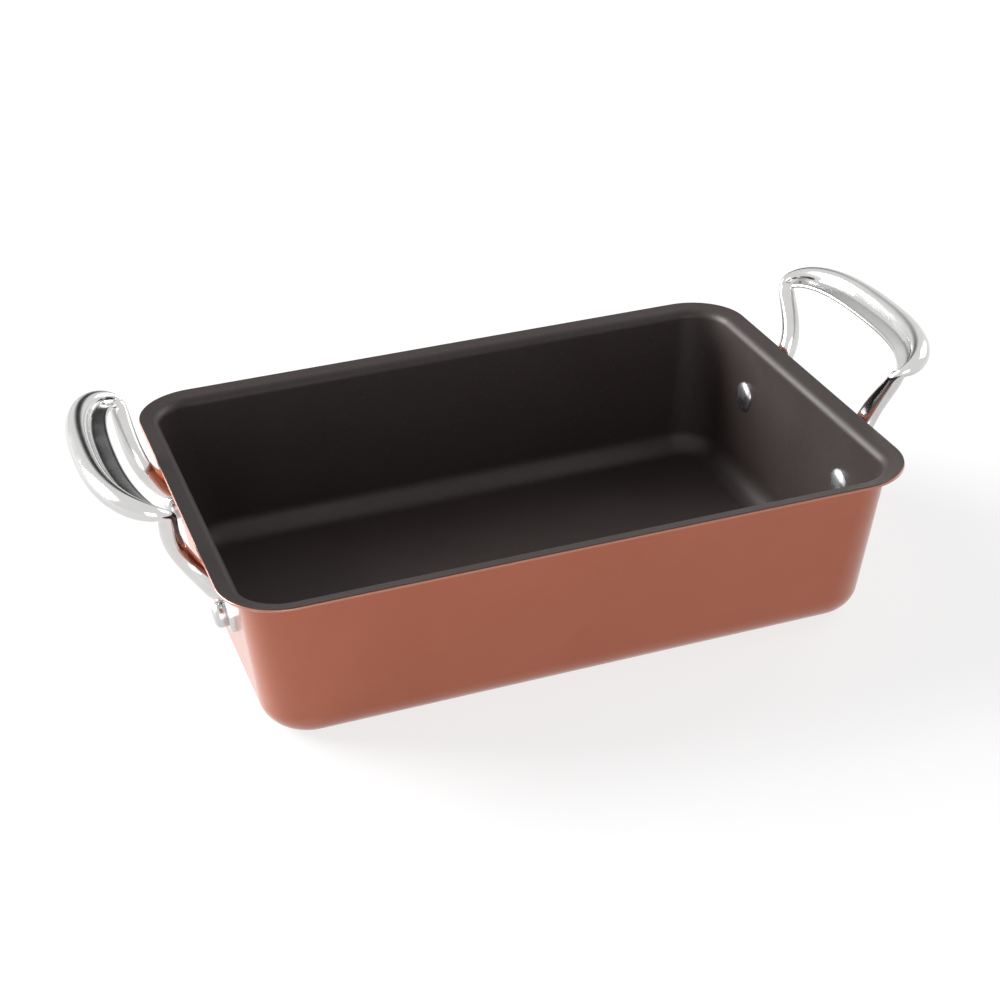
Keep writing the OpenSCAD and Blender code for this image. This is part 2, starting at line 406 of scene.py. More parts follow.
def boreCutters():
    radius = rivets["shank"] / 2 + rivets["clearance"]
    reach = skin + handle["footThickness"]
    return [boreCutter(place, radius, -reach, reach * 2) for place in rivetPlaces.values()]


# handles: grip bar, two legs and two feet in one casting

handle = {
    "gripSpan": 129,
    "gripReach": 33.6,
    "gripEndReach": 13.5,
    "gripHeight": 33.03,
    "gripDrop": 4.6,
    "beadRadius": 5.6,
    "beadEndRadius": 2.4,
    "beadOut": (1.24, 0.7),
    "beadUp": 0.09,
    "beadTaper": 2.4,
    "beadArc": (172, -122),
    "bandWidth": 8.4,
    "bandEndWidth": 4,
    "bandFall": 0.9,
    "bandEndFall": 1.9,
    "bandThickness": 2.2,
    "bandPower": 0.515,
    "tipLength": 3.4,
    "tipSweep": 84,
    "squareness": 2.4,
    "runStep": 0.5,
    "lipShare": 0.9,
    "undersideShare": 0.25,
    "dropPower": 1.5,
    "barSteps": 96,
    "beadSteps": 30,
    "lipSteps": 6,
    "bandSteps": 8,
    "tipSteps": 7,
    "legTopSpacing": 128,
    "legTopReach": 13.5,
    "legTopHeight": 26.4,
    "legBow": 29.3,
    "legTopWidth": 7.8,
    "legBaseWidth": 16,
    "legFlare": 1.6,
    "legDome": 3.2,
    "domeSweep": 82,
    "domeSteps": 6,
    "legDepths": (9, 10.2),
    "legLanding": 12.5,
    "legReachShares": (0.91, 0.817),
    "legStandShare": 0.214,
    "legBackPower": 2.2,
    "legTurn": 0.3,
    "legRange": (0.015, 0.958),
    "legEnd": 1.05,
    "noseSweep": 80,
    "noseSteps": 9,
    "legSteps": 44,
    "legSides": 40,
    "footDiameter": 20,
    "footNeck": 0.56,
    "footThickness": 3.2,
    "footSink": -1,
    "footBand": 0.3,
    "footRound": 0.8,
    "roundSteps": 6,
    "footSteps": 14,
    "jointReach": 7.5,
    "jointPasses": 14,
    "jointFactor": 0.5,
    "weldGap": 0.004,
    "sharpAngle": 32,
}


# where bead and band meet, from -90 degrees at the near end to 90 at the far one
def crease(angle):
    reach = blend(handle["gripEndReach"], handle["gripReach"], cosD(angle))
    side = handle["gripSpan"] / 2 * signPower(sinD(angle), 2 / handle["squareness"])
    drop = handle["gripDrop"] * (1 - cosD(angle)) ** handle["dropPower"]
    return Vector((pan["length"] / 2 + reach, side, pan["height"] + handle["gripHeight"] - drop))


# level direction square to the bar, away from the finger gap
def barOut(angle):
    small = handle["runStep"]
    near = max(-90 + 2 * small, min(90 - 2 * small, angle))
    run = crease(near + small) - crease(near - small)
    return Vector((run.y, -run.x, 0)).normalized()


# half section around the crease: bead, underside, lip of the band and its hollow top
def barSection(k):
    radius = blend(handle["beadRadius"], handle["beadEndRadius"], k ** handle["beadTaper"])
    width = blend(handle["bandWidth"], handle["bandEndWidth"], k)
    fall = blend(handle["bandFall"], handle["bandEndFall"], k)
    low = fall + handle["bandThickness"]
    centre = Vector((blend(*handle["beadOut"], k), handle["beadUp"])) * radius
    section = []
    for angle in steps(*handle["beadArc"], handle["beadSteps"]):
        section.append(centre + Vector((cosD(angle), sinD(angle))) * radius)
    section.append(Vector((-width * handle["undersideShare"], -low)))
    half = handle["bandThickness"] / 2
    flat = handle["lipShare"]
    for angle in steps(-90, -270, handle["lipSteps"]):
        lip = Vector((cosD(angle), sinD(angle))) * half
        section.append(Vector((half * flat - width, -low + half)) + Vector((lip.x * flat, lip.y)))
    for share in steps(1, 0, handle["bandSteps"])[1:]:
        along = (width - half * flat) * share
        section.append(Vector((-along, -fall * share ** handle["bandPower"])))
    return section


# a section of the bar; past its ends the sections slide on and shrink into round tips
def barRing(angle, k, slide, size):
    start = crease(angle)
    out = barOut(angle)
    run = crease(90 - handle["runStep"]) - crease(90)
    along = Vector((run.x, 0, run.z)).normalized()
    section = barSection(k)
    middle = (section[0] + section[handle["beadSteps"] + 1]) / 2
    ring = []
    for p in section:
        q = middle + (p - middle) * size
        ring.append(start + out * q.x - along * slide + Vector((0, 0, q.y)))
    return ring


def gripBarMesh():
    tips = steps(0, handle["tipSweep"], handle["tipSteps"])[1:]
    tip = [(handle["tipLength"] * sinD(a), cosD(a)) for a in tips]
    rings = [barRing(-90, 1, slide, size) for slide, size in reversed(tip)]
    rings += [barRing(a, 1 - cosD(a), 0, 1) for a in steps(-90, 90, handle["barSteps"])]
    rings += [barRing(90, 1, slide, size) for slide, size in tip]
    return loftMesh("gripBar", rings)


# ends and bends of the far leg's curve
def legPoints():
    half = pan["length"] / 2
    landing = handle["legLanding"]
    stand = handle["legBaseWidth"] * handle["legStandShare"]
    base = Vector((
        rivetX + landing * tanD(pan["draft"]) + stand,
        rivets["spacing"] / 2,
        rivetHeight + landing,
    ))
    reach = handle["legTopReach"]
    side = handle["legTopSpacing"] / 2
    top = Vector((half + reach, side, pan["height"] + handle["legTopHeight"]))
    upper = Vector((
        half + reach * handle["legReachShares"][0],
        side - handle["legBow"] / 3,
        blend(top.z, base.z, 1 / 3),
    ))
    lower = Vector((
        half + reach * handle["legReachShares"][1],
        side - handle["legBow"],
        blend(top.z, base.z, 2 / 3),
    ))
    return top, upper, lower, base


# a section of the leg at t along its curve: level at the top, squarer toward the wall
def legRing(t):
    a, b, c, d = legPoints()
    s = 1 - t
    centre = a * s ** 3 + b * 3 * t * s ** 2 + c * 3 * t ** 2 * s + d * t ** 3
    slope = (b - a) * s ** 2 + (c - b) * 2 * t * s + (d - c) * t ** 2
    lean = min(1, t / handle["legTurn"])
    run = blend(Vector((0, 0, -slope.length)), slope, lean).normalized()
    side = Vector((1, 0, 0))
    out = (side - run * run.dot(side)).normalized()
    across = run.cross(out)
    half = blend(handle["legTopWidth"], handle["legBaseWidth"], t ** handle["legFlare"]) / 2
    depth = blend(*handle["legDepths"], t) / 2
    ring = []
    for j in range(handle["legSides"]):
        angle = 360 * j / handle["legSides"]
        power = 2 / handle["legBackPower"] if cosD(angle) < 0 else 1
        reach = depth * signPower(cosD(angle), power)
        ring.append(centre + out * reach + across * half * signPower(sinD(angle), power))
    return ring


# a leg from its domed top inside the bar down to the rounded nose on its foot
def legMesh():
    first = legRing(handle["legRange"][0])
    middle = sum(first, Vector()) / len(first)
    rings = []
    for angle in reversed(steps(0, handle["domeSweep"], handle["domeSteps"])[1:]):
        lift = Vector((0, 0, handle["legDome"] * sinD(angle)))
        rings.append([middle + (p - middle) * cosD(angle) + lift for p in first])
    rings += [legRing(t) for t in steps(*handle["legRange"], handle["legSteps"])]
    for angle in steps(0, handle["noseSweep"], handle["noseSteps"])[1:]:
        ring = legRing(blend(handle["legRange"][1], handle["legEnd"], sinD(angle)))
        middle = sum(ring, Vector()) / len(ring)
        rings.append([middle + (p - middle) * cosD(angle) for p in ring])
    return loftMesh("leg", rings)


# outline of a foot: a round pad drawn up into a neck, shrunk by an inset
def footRing(inset, height):
    big = handle["footDiameter"] / 2
    small = big * handle["footNeck"]
    reach = handle["legLanding"]
    meet = math.degrees(math.acos((big - small) / reach))
    ring = []
    for angle in steps(180 - meet, meet - 180, 2 * handle["footSteps"]):
        ray = Vector((cosD(angle), sinD(angle), 0))
        ring.append(ray * (big - inset) + Vector((0, 0, height)))
    for angle in steps(180 + meet, 180 - meet, handle["footSteps"]):
        ray = Vector((cosD(angle), sinD(angle), 0))
        ring.append(ray * (small - inset) + Vector((-reach, 0, height)))
    return ring


def footMesh():
    top = handle["footThickness"]
    size = handle["footRound"]
    rings = [footRing(0, height) for height in (handle["footSink"], handle["footBand"], top - size)]
    for angle in steps(0, 90, handle["roundSteps"])[1:]:
        rings.append(footRing(size * (1 - cosD(angle)), top - size * (1 - sinD(angle))))
    return loftMesh("foot", rings)


def wallCutter():
    size = pan["width"] / 2
    low = [Vector((x, y, -size)) for x, y in rectangle(size, size)]
    high = [Vector((x, y, 0)) for x, y in rectangle(size, size)]
    return addObject("cutter", loftMesh("cutter", [low, high]), onWall(0))


def handleObject(name, turned):
    body = addObject(name, gripBarMesh())
    flip = Matrix.Scale(-1, 4, (0, 1, 0))
    farLeg = addObject("leg", legMesh())
    nearMesh = legMesh()
    nearMesh.transform(flip)
    nearMesh.flip_normals()
    nearLeg = addObject("leg", nearMesh)
    half = rivets["spacing"] / 2
    feet = [addObject("foot", footMesh(), onWall(side)) for side in (-half, half)]
    carve(body, [farLeg, nearLeg, *feet], "UNION")
    seat = rivets["outerHead"] / 2 + rivets["headClearance"]
    bore = rivets["shank"] / 2 + rivets["clearance"]
    cutters = [wallCutter()]  # then the bores, and room for the outer heads
    for side in (-half, half):
        high = handle["footThickness"]
        cutters.append(boreCutter(onWall(side), bore, -skin, high * 2))
        cutters.append(boreCutter(onWall(side), seat, high, high + handle["legBaseWidth"]))
    carve(body, cutters, "DIFFERENCE")
    dropLoosePoints(body.data, handle["weldGap"])
    joint = legPoints()[0]
    joints = [joint, Vector((joint.x, -joint.y, joint.z))]
    softenNear(
        body.data, joints, handle["jointReach"], handle["jointPasses"], handle["jointFactor"])
    if turned:
        body.data.transform(Matrix.Rotation(math.pi, 4, "Z"))
    smoothMesh(body.data, handle["sharpAngle"])
    return body


# a rivet from its inner dome through the shank to its outer head
def rivetProfile():
    inner = rivets["innerHead"] / 2
    outer = rivets["outerHead"] / 2
    shank = rivets["shank"] / 2
    seat = handle["footThickness"]
    rimHeight = rivets["outerHeight"] * rivets["outerRim"]
    profile = [(0, -skin - rivets["innerHeight"])]
    for angle in steps(0, 90, rivets["domeSteps"])[1:]:
        drop = skin + blend(0, rivets["innerHeight"], cosD(angle) ** rivets["innerCrown"])
        profile.append((inner * sinD(angle), -drop))
    profile += [(inner * rivets["innerSeat"], -skin), (shank, -skin)]
    profile += [(shank, seat), (outer * rivets["outerSeat"], seat)]
    profile += [(outer, seat + rimHeight * rivets["outerFoot"])]
    for angle in steps(0, 90, rivets["domeSteps"])[:-1]:
        height = seat + rimHeight + (rivets["outerHeight"] - rimHeight) * sinD(angle)
        profile.append((outer * cosD(angle) ** rivets["crownPower"], height))
    profile.append((0, seat + rivets["outerHeight"]))
    return profile


# what the shared node groups hold: noise settings, and where each mask starts and ends
grainShape = {
    "fine": {"Detail": 2.0, "Roughness": 0.55},
    "coarse": {"Detail": 1.0, "Roughness": 0.5},
    "coarseRatio": 0.22,  # scale of the coarse noise against the fine
    "patches": {"Detail": 3.0, "Roughness": 0.6, "Distortion": 0.4},
    "fineEnds": {"From Min": 0.35, "From Max": 0.65},
    "patchEnds": {"From Min": 0.32, "From Max": 0.68},
    "fleckEdge": 0.12,
    "flatShape": 0.5,  # pointiness of a flat face
    "wearStart": 0.505,
}


# node groups that several materials share
def groupFrame(name, inputs, outputs):
    group = bpy.data.node_groups.new(name, "ShaderNodeTree")
    for label, kind, value in inputs:
        socket = group.interface.new_socket(name=label, in_out="INPUT", socket_type=kind)
        socket.default_value = value
    for label, kind in outputs:
        group.interface.new_socket(name=label, in_out="OUTPUT", socket_type=kind)
    nodes = group.nodes
    return group, nodes.new("NodeGroupInput"), nodes.new("NodeGroupOutput")


def addNode(tree, kind, values=None, **settings):
    node = tree.nodes.new(kind)
    for key, value in settings.items():
        setattr(node, key, value)
    for key, value in (values or {}).items():
        node.inputs[key].default_value = value
    return node


def joinSockets(tree, *pairs):
    for start, end in pairs:
        tree.links.new(start, end)


# fine sprayed or cast grain: a height and a mask from two sizes of noise
def makeFineGrain():
    group, enter, leave = groupFrame(
        "fineGrain",
        [("Grain Size", "NodeSocketFloat", 1.0), ("Coarse Share", "NodeSocketFloat", 0.3)],
        [("Height", "NodeSocketFloat"), ("Mask", "NodeSocketFloat")],
    )
    where = addNode(group, "ShaderNodeTexCoord")
    scale = addNode(group, "ShaderNodeMath", {0: 1 / mm}, operation="DIVIDE")
    coarseScale = addNode(group, "ShaderNodeMath", {1: grainShape["coarseRatio"]}, operation="MULTIPLY")
    fine = addNode(group, "ShaderNodeTexNoise", grainShape["fine"])
    coarse = addNode(group, "ShaderNodeTexNoise", grainShape["coarse"])
    mixed = addNode(group, "ShaderNodeMix", data_type="FLOAT")
    spread = addNode(group, "ShaderNodeMapRange", grainShape["fineEnds"])
    joinSockets(
        group,
        (enter.outputs["Grain Size"], scale.inputs[1]),
        (scale.outputs[0], coarseScale.inputs[0]),
        (where.outputs["Object"], fine.inputs["Vector"]),
        (where.outputs["Object"], coarse.inputs["Vector"]),
        (scale.outputs[0], fine.inputs["Scale"]),
        (coarseScale.outputs[0], coarse.inputs["Scale"]),
        (enter.outputs["Coarse Share"], mixed.inputs["Factor"]),
        (fine.outputs["Fac"], mixed.inputs["A"]),
        (coarse.outputs["Fac"], mixed.inputs["B"]),
        (mixed.outputs["Result"], leave.inputs["Height"]),
        (mixed.outputs["Result"], spread.inputs["Value"]),
        (spread.outputs["Result"], leave.inputs["Mask"]),
    )
    return group


# slow uneven handling: a mask of soft patches, and a value between two ends
def makeSoftPatches():
    group, enter, leave = groupFrame(
        "softPatches",
        [
            ("Patch Size", "NodeSocketFloat", 40.0),
            ("Low", "NodeSocketFloat", 0.3),
            ("High", "NodeSocketFloat", 0.4),
        ],
        [("Value", "NodeSocketFloat"), ("Mask", "NodeSocketFloat")],
    )
    where = addNode(group, "ShaderNodeTexCoord")
    scale = addNode(group, "ShaderNodeMath", {0: 1 / mm}, operation="DIVIDE")
    noise = addNode(group, "ShaderNodeTexNoise", grainShape["patches"])
    mask = addNode(group, "ShaderNodeMapRange", grainShape["patchEnds"])
    mask.interpolation_type = "SMOOTHSTEP"
    value = addNode(group, "ShaderNodeMapRange")
    joinSockets(
        group,
        (enter.outputs["Patch Size"], scale.inputs[1]),
        (scale.outputs[0], noise.inputs["Scale"]),
        (where.outputs["Object"], noise.inputs["Vector"]),
        (noise.outputs["Fac"], mask.inputs["Value"]),
        (mask.outputs["Result"], value.inputs["Value"]),
        (enter.outputs["Low"], value.inputs["To Min"]),
        (enter.outputs["High"], value.inputs["To Max"]),
        (value.outputs["Result"], leave.inputs["Value"]),
        (mask.outputs["Result"], leave.inputs["Mask"]),
    )
    return group


# scattered small flecks, as a mask: metal flakes in paint or light specks in a coating
def makeFlecks():
    group, enter, leave = groupFrame(
        "flecks",
        [("Spacing", "NodeSocketFloat", 1.0), ("Amount", "NodeSocketFloat", 0.2)],
        [("Mask", "NodeSocketFloat")],
    )
    where = addNode(group, "ShaderNodeTexCoord")
    scale = addNode(group, "ShaderNodeMath", {0: 1 / mm}, operation="DIVIDE")
    cells = addNode(group, "ShaderNodeTexVoronoi")
    edge = addNode(group, "ShaderNodeMath", {1: grainShape["fleckEdge"]}, operation="ADD")
    mask = addNode(group, "ShaderNodeMapRange", {"To Min": 1.0, "To Max": 0.0})
    mask.interpolation_type = "SMOOTHSTEP"
    joinSockets(
        group,
        (enter.outputs["Spacing"], scale.inputs[1]),
        (scale.outputs[0], cells.inputs["Scale"]),
        (where.outputs["Object"], cells.inputs["Vector"]),
        (cells.outputs["Distance"], mask.inputs["Value"]),
        (enter.outputs["Amount"], mask.inputs["From Min"]),
        (enter.outputs["Amount"], edge.inputs[0]),
        (edge.outputs[0], mask.inputs["From Max"]),
        (mask.outputs["Result"], leave.inputs["Mask"]),
    )
    return group


# a mask of sharply turned edges, from how sharply the surface turns: worn or thinned edges, and on the
# copper paint also a painted highlight
def makeEdgeWearAndHighlight():
    group, enter, leave = groupFrame(
        "edgeWearAndHighlight",
        [("Reach", "NodeSocketFloat", 0.06), ("Strength", "NodeSocketFloat", 1.0)],
        [("Mask", "NodeSocketFloat")],
    )
    shape = addNode(group, "ShaderNodeNewGeometry")
    start = addNode(group, "ShaderNodeMath", {0: grainShape["flatShape"]}, operation="ADD")
    mask = addNode(group, "ShaderNodeMapRange", {"From Min": grainShape["wearStart"]})
    strength = addNode(group, "ShaderNodeMath", operation="MULTIPLY")
    joinSockets(
        group,
        (enter.outputs["Reach"], start.inputs[1]),
        (start.outputs[0], mask.inputs["From Max"]),
        (shape.outputs["Pointiness"], mask.inputs["Value"]),
        (mask.outputs["Result"], strength.inputs[0]),
        (enter.outputs["Strength"], strength.inputs[1]),
        (strength.outputs[0], leave.inputs["Mask"]),
    )
    return group


sharedGroups = {
    "fineGrain": makeFineGrain(),
    "softPatches": makeSoftPatches(),
    "flecks": makeFlecks(),
    "edgeWearAndHighlight": makeEdgeWearAndHighlight(),
}
print("node groups ready")


def useGroup(tree, name, values):
    node = tree.nodes.new("ShaderNodeGroup")
    node.node_tree = sharedGroups[name]
    for key, value in values.items():
        node.inputs[key].default_value = value
    return node


def newMaterial(name, settings):
    material = bpy.data.materials.new(name)
    material.use_nodes = True
    tree = material.node_tree
    shader = tree.nodes["Principled BSDF"]
    for key, value in settings.items():
        shader.inputs[key].default_value = value
    return material, tree, shader


# inputs 6 and 7 of a colour mix are its two colours
def mixColour(tree, mask, first, second):
    node = addNode(tree, "ShaderNodeMix", data_type="RGBA")
    for place, value in ((6, first), (7, second)):
        if isinstance(value, tuple):
            node.inputs[place].default_value = (*value, 1)
        else:
            tree.links.new(value, node.inputs[place])
    tree.links.new(mask, node.inputs[0])
    return node.outputs[2]


def scaleMask(tree, mask, amount):
    node = addNode(tree, "ShaderNodeMath", {1: amount}, operation="MULTIPLY")
    tree.links.new(mask, node.inputs[0])
    return node.outputs[0]


def bumpFrom(tree, height, bump, before=None):
    strength, distance = bump
    node = addNode(tree, "ShaderNodeBump", {"Strength": strength, "Distance": distance * mm})
    tree.links.new(height, node.inputs["Height"])
    if before is not None:
        tree.links.new(before, node.inputs["Normal"])
    return node.outputs["Normal"]


def softPatches(tree, look):
    low, high = look["roughness"]
    return useGroup(tree, "softPatches", {"Patch Size": look["patchSize"], "Low": low, "High": high})


def edgeWearAndHighlight(tree, look):
    reach, strength = look["wear"]
    return useGroup(tree, "edgeWearAndHighlight", {"Reach": reach, "Strength": strength})


# grain is a pair of its size in millimetres and the share of the coarse noise in it
def fineGrain(tree, grain):
    size, coarse = grain
    return useGroup(tree, "fineGrain", {"Grain Size": size, "Coarse Share": coarse})


# flecks are a triple of their spacing in millimetres, their amount and how strongly they show
def flecks(tree, look):
    spacing, amount, strength = look["flecks"]
    found = useGroup(tree, "flecks", {"Spacing": spacing, "Amount": amount})
    return scaleMask(tree, found.outputs["Mask"], strength)


# looks of the materials: colours, roughness from and to, the edge mask as reach and strength,
# and bumps as strength and depth in millimetres
copperLook = {
    "paint": (0.48, 0.113, 0.045),
    "deeper": (0.455, 0.104, 0.040),
    "flake": (0.58, 0.21, 0.12),
    # pale edge colour: bare metal where the paint wears thin, and a painted highlight along convex
    # edges, strongest at the rim's edge
    "edge": (0.62, 0.46, 0.39),
    "settings": {"Metallic": 0.5, "Coat Weight": 0.75, "Coat Roughness": 0.12, "Coat IOR": 1.5},
    "roughness": (0.33, 0.40),
    "patchSize": 60,
    "flecks": (0.35, 0.12, 0.4),
    "wear": (0.1, 0.9),
    "peel": (1.6, 0.35),
    "peelBump": (0.35, 0.012),
}


def makeCopperPaint():
    look = copperLook
    material, tree, shader = newMaterial("copperPaint", look["settings"])
    patches = softPatches(tree, look)
    peel = fineGrain(tree, look["peel"])
    wear = edgeWearAndHighlight(tree, look)
    colour = mixColour(tree, patches.outputs["Mask"], look["paint"], look["deeper"])
    colour = mixColour(tree, flecks(tree, look), colour, look["flake"])
    # pale edges: partly bare metal at worn edges, partly a painted highlight
    colour = mixColour(tree, wear.outputs["Mask"], colour, look["edge"])
    normal = bumpFrom(tree, peel.outputs["Height"], look["peelBump"])
    joinSockets(
        tree,
        (colour, shader.inputs["Base Color"]),
        (patches.outputs["Value"], shader.inputs["Roughness"]),
        (normal, shader.inputs["Normal"]),
    )
    return material


liningLook = {
    "coat": (0.0265, 0.0188, 0.0174),
    "thin": (0.036, 0.0255, 0.0238),
    "speck": (0.11, 0.10, 0.095),
    "settings": {"Metallic": 0.0, "Specular IOR Level": 0.35, "IOR": 1.5},
    "roughness": (0.44, 0.51),
    "patchSize": 70,
    "flecks": (2.6, 0.03, 0.6),
    "wear": (0.07, 0.35),
    "grain": (0.9, 0.3),
    "grainBump": (0.5, 0.03),
    "grainShade": 0.5,
}


def makeLiningCoat():
    look = liningLook
    material, tree, shader = newMaterial("liningCoat", look["settings"])
    patches = softPatches(tree, look)
    grain = fineGrain(tree, look["grain"])
    wear = edgeWearAndHighlight(tree, look)
    grainShade = scaleMask(tree, grain.outputs["Mask"], look["grainShade"])
    colour = mixColour(tree, grainShade, look["coat"], look["thin"])
    colour = mixColour(tree, flecks(tree, look), colour, look["speck"])
    colour = mixColour(tree, wear.outputs["Mask"], colour, look["speck"])
    normal = bumpFrom(tree, grain.outputs["Height"], look["grainBump"])
    joinSockets(
        tree,
        (colour, shader.inputs["Base Color"]),
        (patches.outputs["Value"], shader.inputs["Roughness"]),
        (normal, shader.inputs["Normal"]),
    )
    return material


castLook = {
    "metal": (0.66, 0.655, 0.65),
    "dull": (0.57, 0.565, 0.56),
    "settings": {"Metallic": 1.0, "Specular IOR Level": 0.5},
    "roughness": (0.09, 0.17),
    "patchSize": 18,
    "dullShare": 0.5,
    "wear": (0.1, 0.6),
    "ripple": (9, 0.5),
    "rippleBump": (0.4, 0.10),
    "pits": (0.8, 0.2),
    "pitBump": (0.4, 0.008),
}


def makeCastMetal():
    look = castLook
    material, tree, shader = newMaterial("castMetal", look["settings"])
    patches = softPatches(tree, look)
    ripple = fineGrain(tree, look["ripple"])
    pits = fineGrain(tree, look["pits"])
    wear = edgeWearAndHighlight(tree, look)
    dull = scaleMask(tree, patches.outputs["Mask"], look["dullShare"])
    colour = mixColour(tree, dull, look["metal"], look["dull"])
    colour = mixColour(tree, wear.outputs["Mask"], colour, look["metal"])
    normal = bumpFrom(tree, ripple.outputs["Height"], look["rippleBump"])
    normal = bumpFrom(tree, pits.outputs["Height"], look["pitBump"], normal)
    joinSockets(
        tree,
        (colour, shader.inputs["Base Color"]),
        (patches.outputs["Value"], shader.inputs["Roughness"]),
        (normal, shader.inputs["Normal"]),
    )
    return material


rivetLook = {
    "metal": (0.66, 0.66, 0.66),
    "dull": (0.54, 0.54, 0.55),
    "settings": {"Metallic": 1.0, "Specular IOR Level": 0.5},
    "roughness": (0.22, 0.32),
    "patchSize": 6,
    "wear": (0.1, 0.5),
    "rings": {"Scale": 142.857, "Distortion": 0.8, "Detail": 2.0},  # about 2.2 mm apart
    "ringBump": (0.3, 0.006),
    "pits": (0.7, 0.3),
    "pitBump": (0.4, 0.010),
}


# turned heads: faint rings about the rivet's own axis and small pits
def makeRivetMetal():
    look = rivetLook
    material, tree, shader = newMaterial("rivetMetal", look["settings"])
    patches = softPatches(tree, look)
    pits = fineGrain(tree, look["pits"])
    wear = edgeWearAndHighlight(tree, look)
    where = addNode(tree, "ShaderNodeTexCoord")
    rings = addNode(tree, "ShaderNodeTexWave", look["rings"])
    rings.wave_type = "RINGS"
    rings.rings_direction = "Z"
    colour = mixColour(tree, patches.outputs["Mask"], look["metal"], look["dull"])
    colour = mixColour(tree, wear.outputs["Mask"], colour, look["metal"])
    normal = bumpFrom(tree, rings.outputs["Fac"], look["ringBump"])
    normal = bumpFrom(tree, pits.outputs["Height"], look["pitBump"], normal)
    joinSockets(
        tree,
        (where.outputs["Object"], rings.inputs["Vector"]),
        (colour, shader.inputs["Base Color"]),
        (patches.outputs["Value"], shader.inputs["Roughness"]),
        (normal, shader.inputs["Normal"]),
    )
    return material


# puts a piece on the frame in place of its CAD node
def placePiece(piece, node, material):
    piece.data.materials.clear()
    piece.data.materials.append(material)
    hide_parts(node)
    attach(piece, "root")


def makePan():
    shell = addObject("panShell", skinMesh(
        "panShell", pan["sheet"], pan["skinGap"], 0, pan["edgeRound"]))
    splitAtBores(shell.data)
    carve(shell, boreCutters(), "DIFFERENCE")
    smoothMesh(shell.data, pan["sharpAngle"])
    placePiece(shell, "pan_shell", makeCopperPaint())
    skinPiece = addObject("panLining", skinMesh(
        "panLining", 0, -lining["thickness"], lining["edgeInset"], lining["edgeRound"]))
    splitAtBores(skinPiece.data)
    carve(skinPiece, boreCutters(), "DIFFERENCE")
    smoothMesh(skinPiece.data, pan["sharpAngle"])
    placePiece(skinPiece, "nonstick_lining", makeLiningCoat())
    print("pan and lining made")


def makeHandles():
    metal = makeCastMetal()
    right = handleObject("handleRight", False)
    placePiece(right, "handle_right", metal)
    left = handleObject("handleLeft", True)
    placePiece(left, "handle_left", metal)
    print("handles made")


def makeRivets():
    metal = makeRivetMetal()
    for node, place in rivetPlaces.items():
        words = node.split("_")
        name = words[0] + "".join(word.capitalize() for word in words[1:])
        mesh = latheMesh(name, rivetProfile(), rivets["sides"])
        smoothMesh(mesh, rivets["sharpAngle"])
        placePiece(addObject(name, mesh, place), node, metal)
    print("rivets made")


makePan()
makeHandles()
makeRivets()


# floor, world and lamps
studio = {
    "floorSize": 4.4,
    "floorDrop": 0.0004,
    "floorColour": (0.22, 0.22, 0.22),
    "floorLift": 0.78,
    "paper": (4.0, 0.5),
    "paperShade": 0.15,
    "paperDip": 0.97,
    "softTone": (0.12, 0.12, 0.12),
    "backdropTone": (1.0, 1.0, 1.0),
}


# gives 1 for the rays that see the white background: camera, gloss and transmission
def backdropRays(tree):
    rays = addNode(tree, "ShaderNodeLightPath")
    mirrored = addNode(tree, "ShaderNodeMath", operation="MAXIMUM")
    seen = addNode(tree, "ShaderNodeMath", operation="MAXIMUM")
    joinSockets(
        tree,
        (rays.outputs["Is Glossy Ray"], mirrored.inputs[0]),
        (rays.outputs["Is Transmission Ray"], mirrored.inputs[1]),
        (rays.outputs["Is Camera Ray"], seen.inputs[0]),
        (mirrored.outputs[0], seen.inputs[1]),
    )
    return seen.outputs[0]


# pale paper: lit from above, lifted to white for the backdrop rays, clear from below
def makeFloor():
    half = studio["floorSize"] / 2
    mesh = bpy.data.meshes.new("studioFloor")
    points = [(x, y, -studio["floorDrop"]) for x, y in rectangle(half, half)]
    mesh.from_pydata(points, [], [(0, 1, 2, 3)])
    floor = addObject("studioFloor", mesh)
    material, tree, shader = newMaterial("floorPaper", {"Roughness": 0.9, "Specular IOR Level": 0.1})
    paper = fineGrain(tree, studio["paper"])
    shade = scaleMask(tree, paper.outputs["Mask"], studio["paperShade"])
    tone = studio["floorColour"]
    colour = mixColour(tree, shade, tone, tuple(c * studio["paperDip"] for c in tone))
    lift = addNode(tree, "ShaderNodeMath", {1: studio["floorLift"]}, operation="MULTIPLY")
    glow = addNode(tree, "ShaderNodeEmission")
    both = addNode(tree, "ShaderNodeAddShader")
    clear = addNode(tree, "ShaderNodeBsdfTransparent")
    side = addNode(tree, "ShaderNodeMixShader")
    facing = addNode(tree, "ShaderNodeNewGeometry")
    joinSockets(
        tree,
        (colour, shader.inputs["Base Color"]),
        (backdropRays(tree), lift.inputs[0]),
        (lift.outputs[0], glow.inputs["Strength"]),
        (shader.outputs[0], both.inputs[0]),
        (glow.outputs[0], both.inputs[1]),
        (facing.outputs["Backfacing"], side.inputs[0]),
        (both.outputs[0], side.inputs[1]),
        (clear.outputs[0], side.inputs[2]),
        (side.outputs[0], tree.nodes["Material Output"].inputs["Surface"]),
    )
    mesh.materials.append(material)


# turn is clockwise from straight behind the pan, rise is up from the floor
def directionFor(turn, rise):
    return Vector((sinD(turn) * cosD(rise), cosD(turn) * cosD(rise), sinD(rise)))


# dim soft light for all, and a white backdrop that the camera, metal and glass see
def makeWorld():
    world = bpy.data.worlds.new("studioWorld")
    world.use_nodes = True
    tree = world.node_tree
    tone = mixColour(tree, backdropRays(tree), studio["softTone"], studio["backdropTone"])
    tree.links.new(tone, tree.nodes["Background"].inputs["Color"])
    bpy.context.scene.world = world


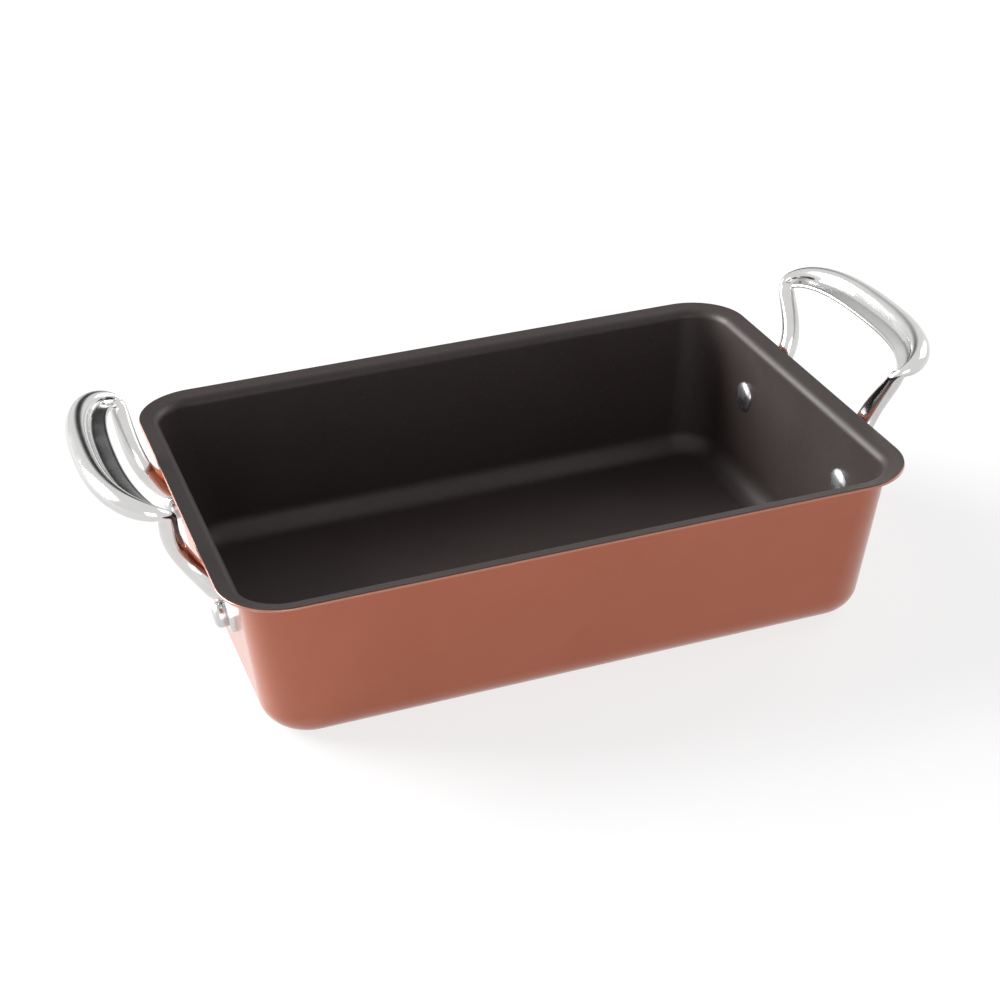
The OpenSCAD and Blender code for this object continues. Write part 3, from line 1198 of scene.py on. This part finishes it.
# dark studio cards that only reflections show, sizes in metres
cards = {
    "places": {
        "backCard": {"turn": 14, "rise": 22, "away": 4, "size": (3.0, 3.0)},
        "lowCard": {"turn": 12, "rise": 3.2, "away": 4, "size": (7.0, 0.36)},
    },
    "tone": (0.10, 0.10, 0.10),
    "nap": (5.0, 0.5),
    "napLift": 1.3,
    "fade": {"From Min": 0.2, "From Max": 1.0},
}


# dark in the middle, and clear toward its edges
def makeCardFelt():
    material, tree, shader = newMaterial("cardFelt", {"Roughness": 0.9, "Specular IOR Level": 0.0})
    nap = fineGrain(tree, cards["nap"])
    raised = tuple(c * cards["napLift"] for c in cards["tone"])
    colour = mixColour(tree, nap.outputs["Mask"], cards["tone"], raised)
    where = addNode(tree, "ShaderNodeTexCoord")
    # from 0 to 1 across the card into -1 to 1
    centred = addNode(
        tree, "ShaderNodeVectorMath", {1: (2, 2, 0), 2: (-1, -1, 0)}, operation="MULTIPLY_ADD")
    reach = addNode(tree, "ShaderNodeVectorMath", operation="LENGTH")
    fade = addNode(tree, "ShaderNodeMapRange", cards["fade"])
    fade.interpolation_type = "SMOOTHSTEP"
    clear = addNode(tree, "ShaderNodeBsdfTransparent")
    both = addNode(tree, "ShaderNodeMixShader")
    joinSockets(
        tree,
        (colour, shader.inputs["Base Color"]),
        (where.outputs["Generated"], centred.inputs[0]),
        (centred.outputs["Vector"], reach.inputs[0]),
        (reach.outputs["Value"], fade.inputs["Value"]),
        (fade.outputs["Result"], both.inputs[0]),
        (shader.outputs[0], both.inputs[1]),
        (clear.outputs[0], both.inputs[2]),
        (both.outputs[0], tree.nodes["Material Output"].inputs["Surface"]),
    )
    return material


def makeCards():
    felt = makeCardFelt()
    for name, setup in cards["places"].items():
        wide, tall = setup["size"]
        mesh = bpy.data.meshes.new(name)
        points = [(x, y, 0) for x, y in rectangle(wide / 2, tall / 2)]
        mesh.from_pydata(points, [], [(0, 1, 2, 3)])
        mesh.materials.append(felt)
        place = directionFor(setup["turn"], setup["rise"]) * setup["away"]
        facing = (-place).to_track_quat("Z", "Y").to_matrix().to_4x4()
        card = addObject(name, mesh, Matrix.Translation(place) @ facing)
        card.visible_camera = False
        card.visible_diffuse = False
        card.visible_shadow = False


# soft boxes, sizes in metres and power in watts for each square metre
lamps = {
    "keyBox": {"turn": -53, "rise": 24, "away": 7, "size": (4.4, 4.4), "power": 58},
    "sideBox": {"turn": 74, "rise": 32, "away": 7, "size": (4.2, 4.2), "power": 10},
    "frontBox": {"turn": -170, "rise": 15, "away": 7, "size": (4.4, 4.4), "power": 7},
}


def makeLamps():
    for name, setup in lamps.items():
        data = bpy.data.lights.new(name, "AREA")
        data.shape = "RECTANGLE"
        data.size, data.size_y = setup["size"]
        data.energy = setup["power"] * data.size * data.size_y
        lamp = bpy.data.objects.new(name, data)
        lamp.location = directionFor(setup["turn"], setup["rise"]) * setup["away"]
        lamp.rotation_euler = (-lamp.location).to_track_quat("-Z", "Y").to_euler()
        lamp.visible_camera = False
        bpy.context.scene.collection.objects.link(lamp)


makeFloor()
makeWorld()
makeCards()
makeLamps()
bpy.context.scene.view_settings.view_transform = "Standard"
print("studio ready")
